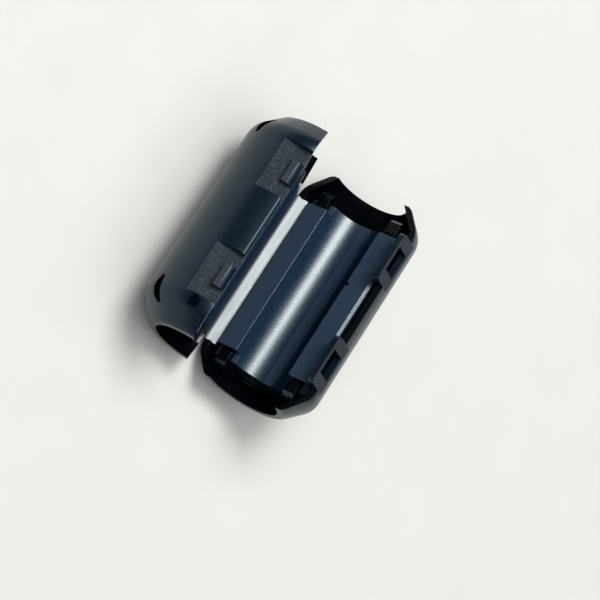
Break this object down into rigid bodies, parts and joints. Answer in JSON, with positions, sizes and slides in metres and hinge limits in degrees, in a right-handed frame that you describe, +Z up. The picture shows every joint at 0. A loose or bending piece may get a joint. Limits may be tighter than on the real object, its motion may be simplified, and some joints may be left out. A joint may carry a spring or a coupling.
{
  "type": "clip-on ferrite bead",
  "caption": "Clip-on ferrite bead for a round cable: a hinged moulded case with latch loops that holds a half-round ferrite core in each shell, shown open.",
  "frame": {"origin": "middle of the cable seat's axis in the lower core", "axes": "+Y along the cable to the far end, +Z up from the table, +X across from the upper half to the lower half"},
  "size_m": [0.0297, 0.0346, 0.0194],
  "materials": {
    "shell": "satin moulded black polyamide, glossy inside, spark-eroded in the latch pockets",
    "ferrite": "fine-ground dark blue-grey sintered ferrite"
  },
  "bodies": {
    "lower": {"lower_shell": "shell", "lower_core": "ferrite"},
    "upper": {"upper_shell": "shell", "upper_core": "ferrite"}
  },
  "joints": [
    {"name": "film_hinge", "type": "hinge", "parent": "lower", "child": "upper", "pos_m": [-0.00515, 0, -0.00857], "axis": [0, -1, 0], "range_deg": [-62, 118]}
  ]
}
